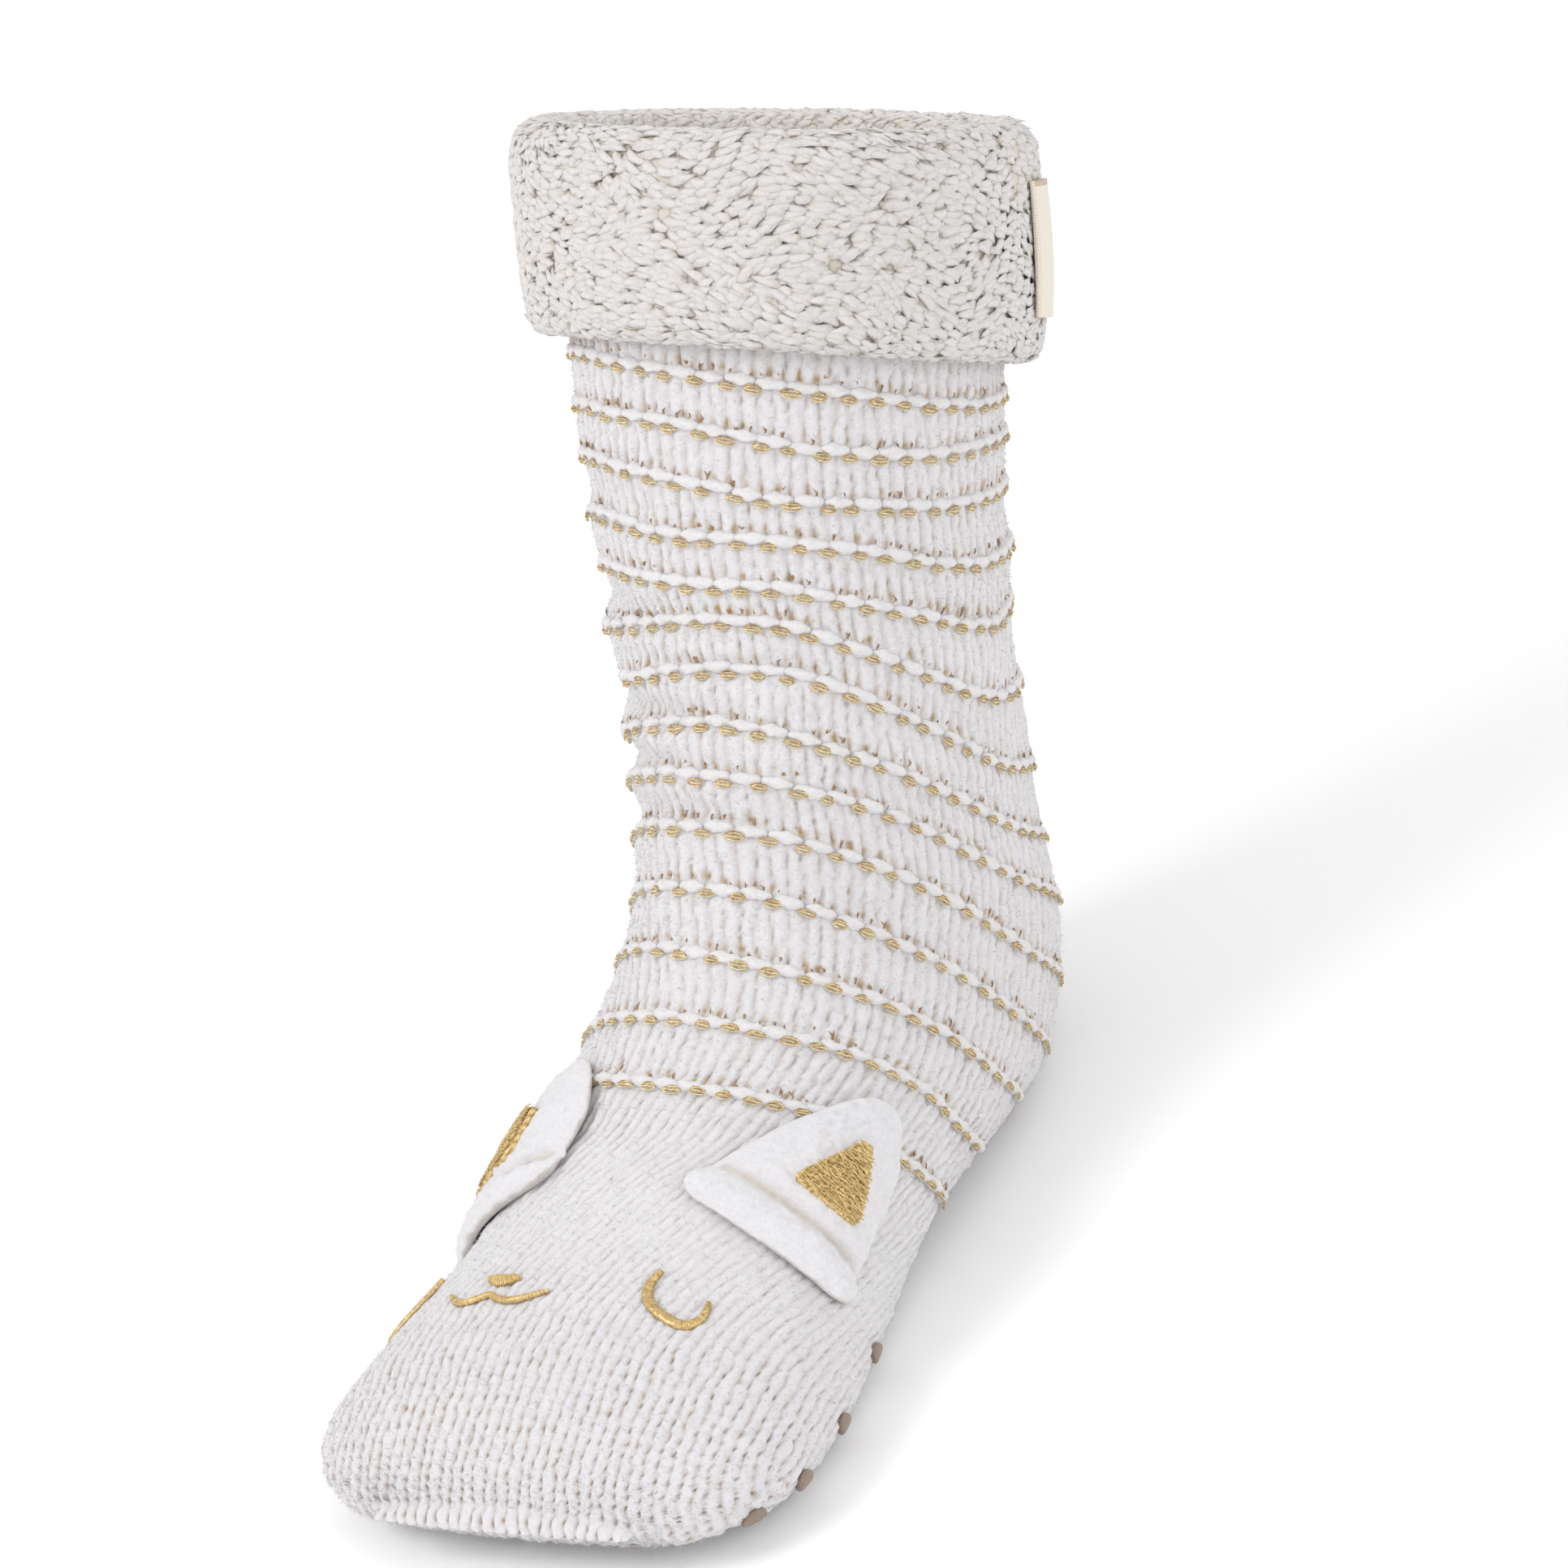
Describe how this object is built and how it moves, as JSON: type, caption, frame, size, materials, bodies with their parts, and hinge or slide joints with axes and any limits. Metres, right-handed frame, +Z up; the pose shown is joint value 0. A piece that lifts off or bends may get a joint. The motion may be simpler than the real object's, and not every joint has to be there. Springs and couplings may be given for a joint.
{
  "type": "slipper sock",
  "caption": "Tall knitted slipper sock in off-white with gold thread stripes, a turned down fleece cuff, plush ears, a stitched animal face and gripper dots under the sole.",
  "frame": {"origin": "on the floor under the middle of the heel, where the middle heel gripper dot stands", "axes": "+Z up, the toe points to -Y and the leg leans back towards +Y, +X is the wearer's left"},
  "size_m": [0.1107, 0.2725, 0.2282],
  "materials": {
    "knit": "fuzzy chenille knit with gold thread stripes",
    "fleece": "curly fleece",
    "tape": "fine woven tape",
    "plush": "short plush pile",
    "gold_thread": "satin stitched metallic thread",
    "grip": "satin silicone"
  },
  "bodies": {
    "root": {"upper": "knit", "cuff": "fleece", "tape": "tape", "ear_left": "plush", "ear_right": "plush", "ear_stitch_left": "gold_thread", "ear_stitch_right": "gold_thread", "eye_left": "gold_thread", "eye_right": "gold_thread", "nose": "gold_thread", "mouth": "gold_thread", "grip_01": "grip", "grip_02": "grip", "grip_03": "grip", "grip_04": "grip", "grip_05": "grip", "grip_06": "grip", "grip_07": "grip", "grip_08": "grip", "grip_09": "grip", "grip_10": "grip", "grip_11": "grip", "grip_12": "grip", "grip_13": "grip", "grip_14": "grip", "grip_15": "grip", "grip_16": "grip", "grip_17": "grip", "grip_18": "grip", "grip_19": "grip", "grip_20": "grip", "grip_21": "grip", "grip_22": "grip", "grip_23": "grip", "grip_24": "grip", "grip_25": "grip", "grip_26": "grip", "grip_27": "grip", "grip_28": "grip", "grip_29": "grip", "grip_30": "grip", "grip_31": "grip", "grip_32": "grip", "grip_33": "grip", "grip_34": "grip", "grip_35": "grip", "grip_36": "grip", "grip_37": "grip", "grip_38": "grip", "grip_39": "grip", "grip_40": "grip", "grip_41": "grip"}
  },
  "joints": []
}
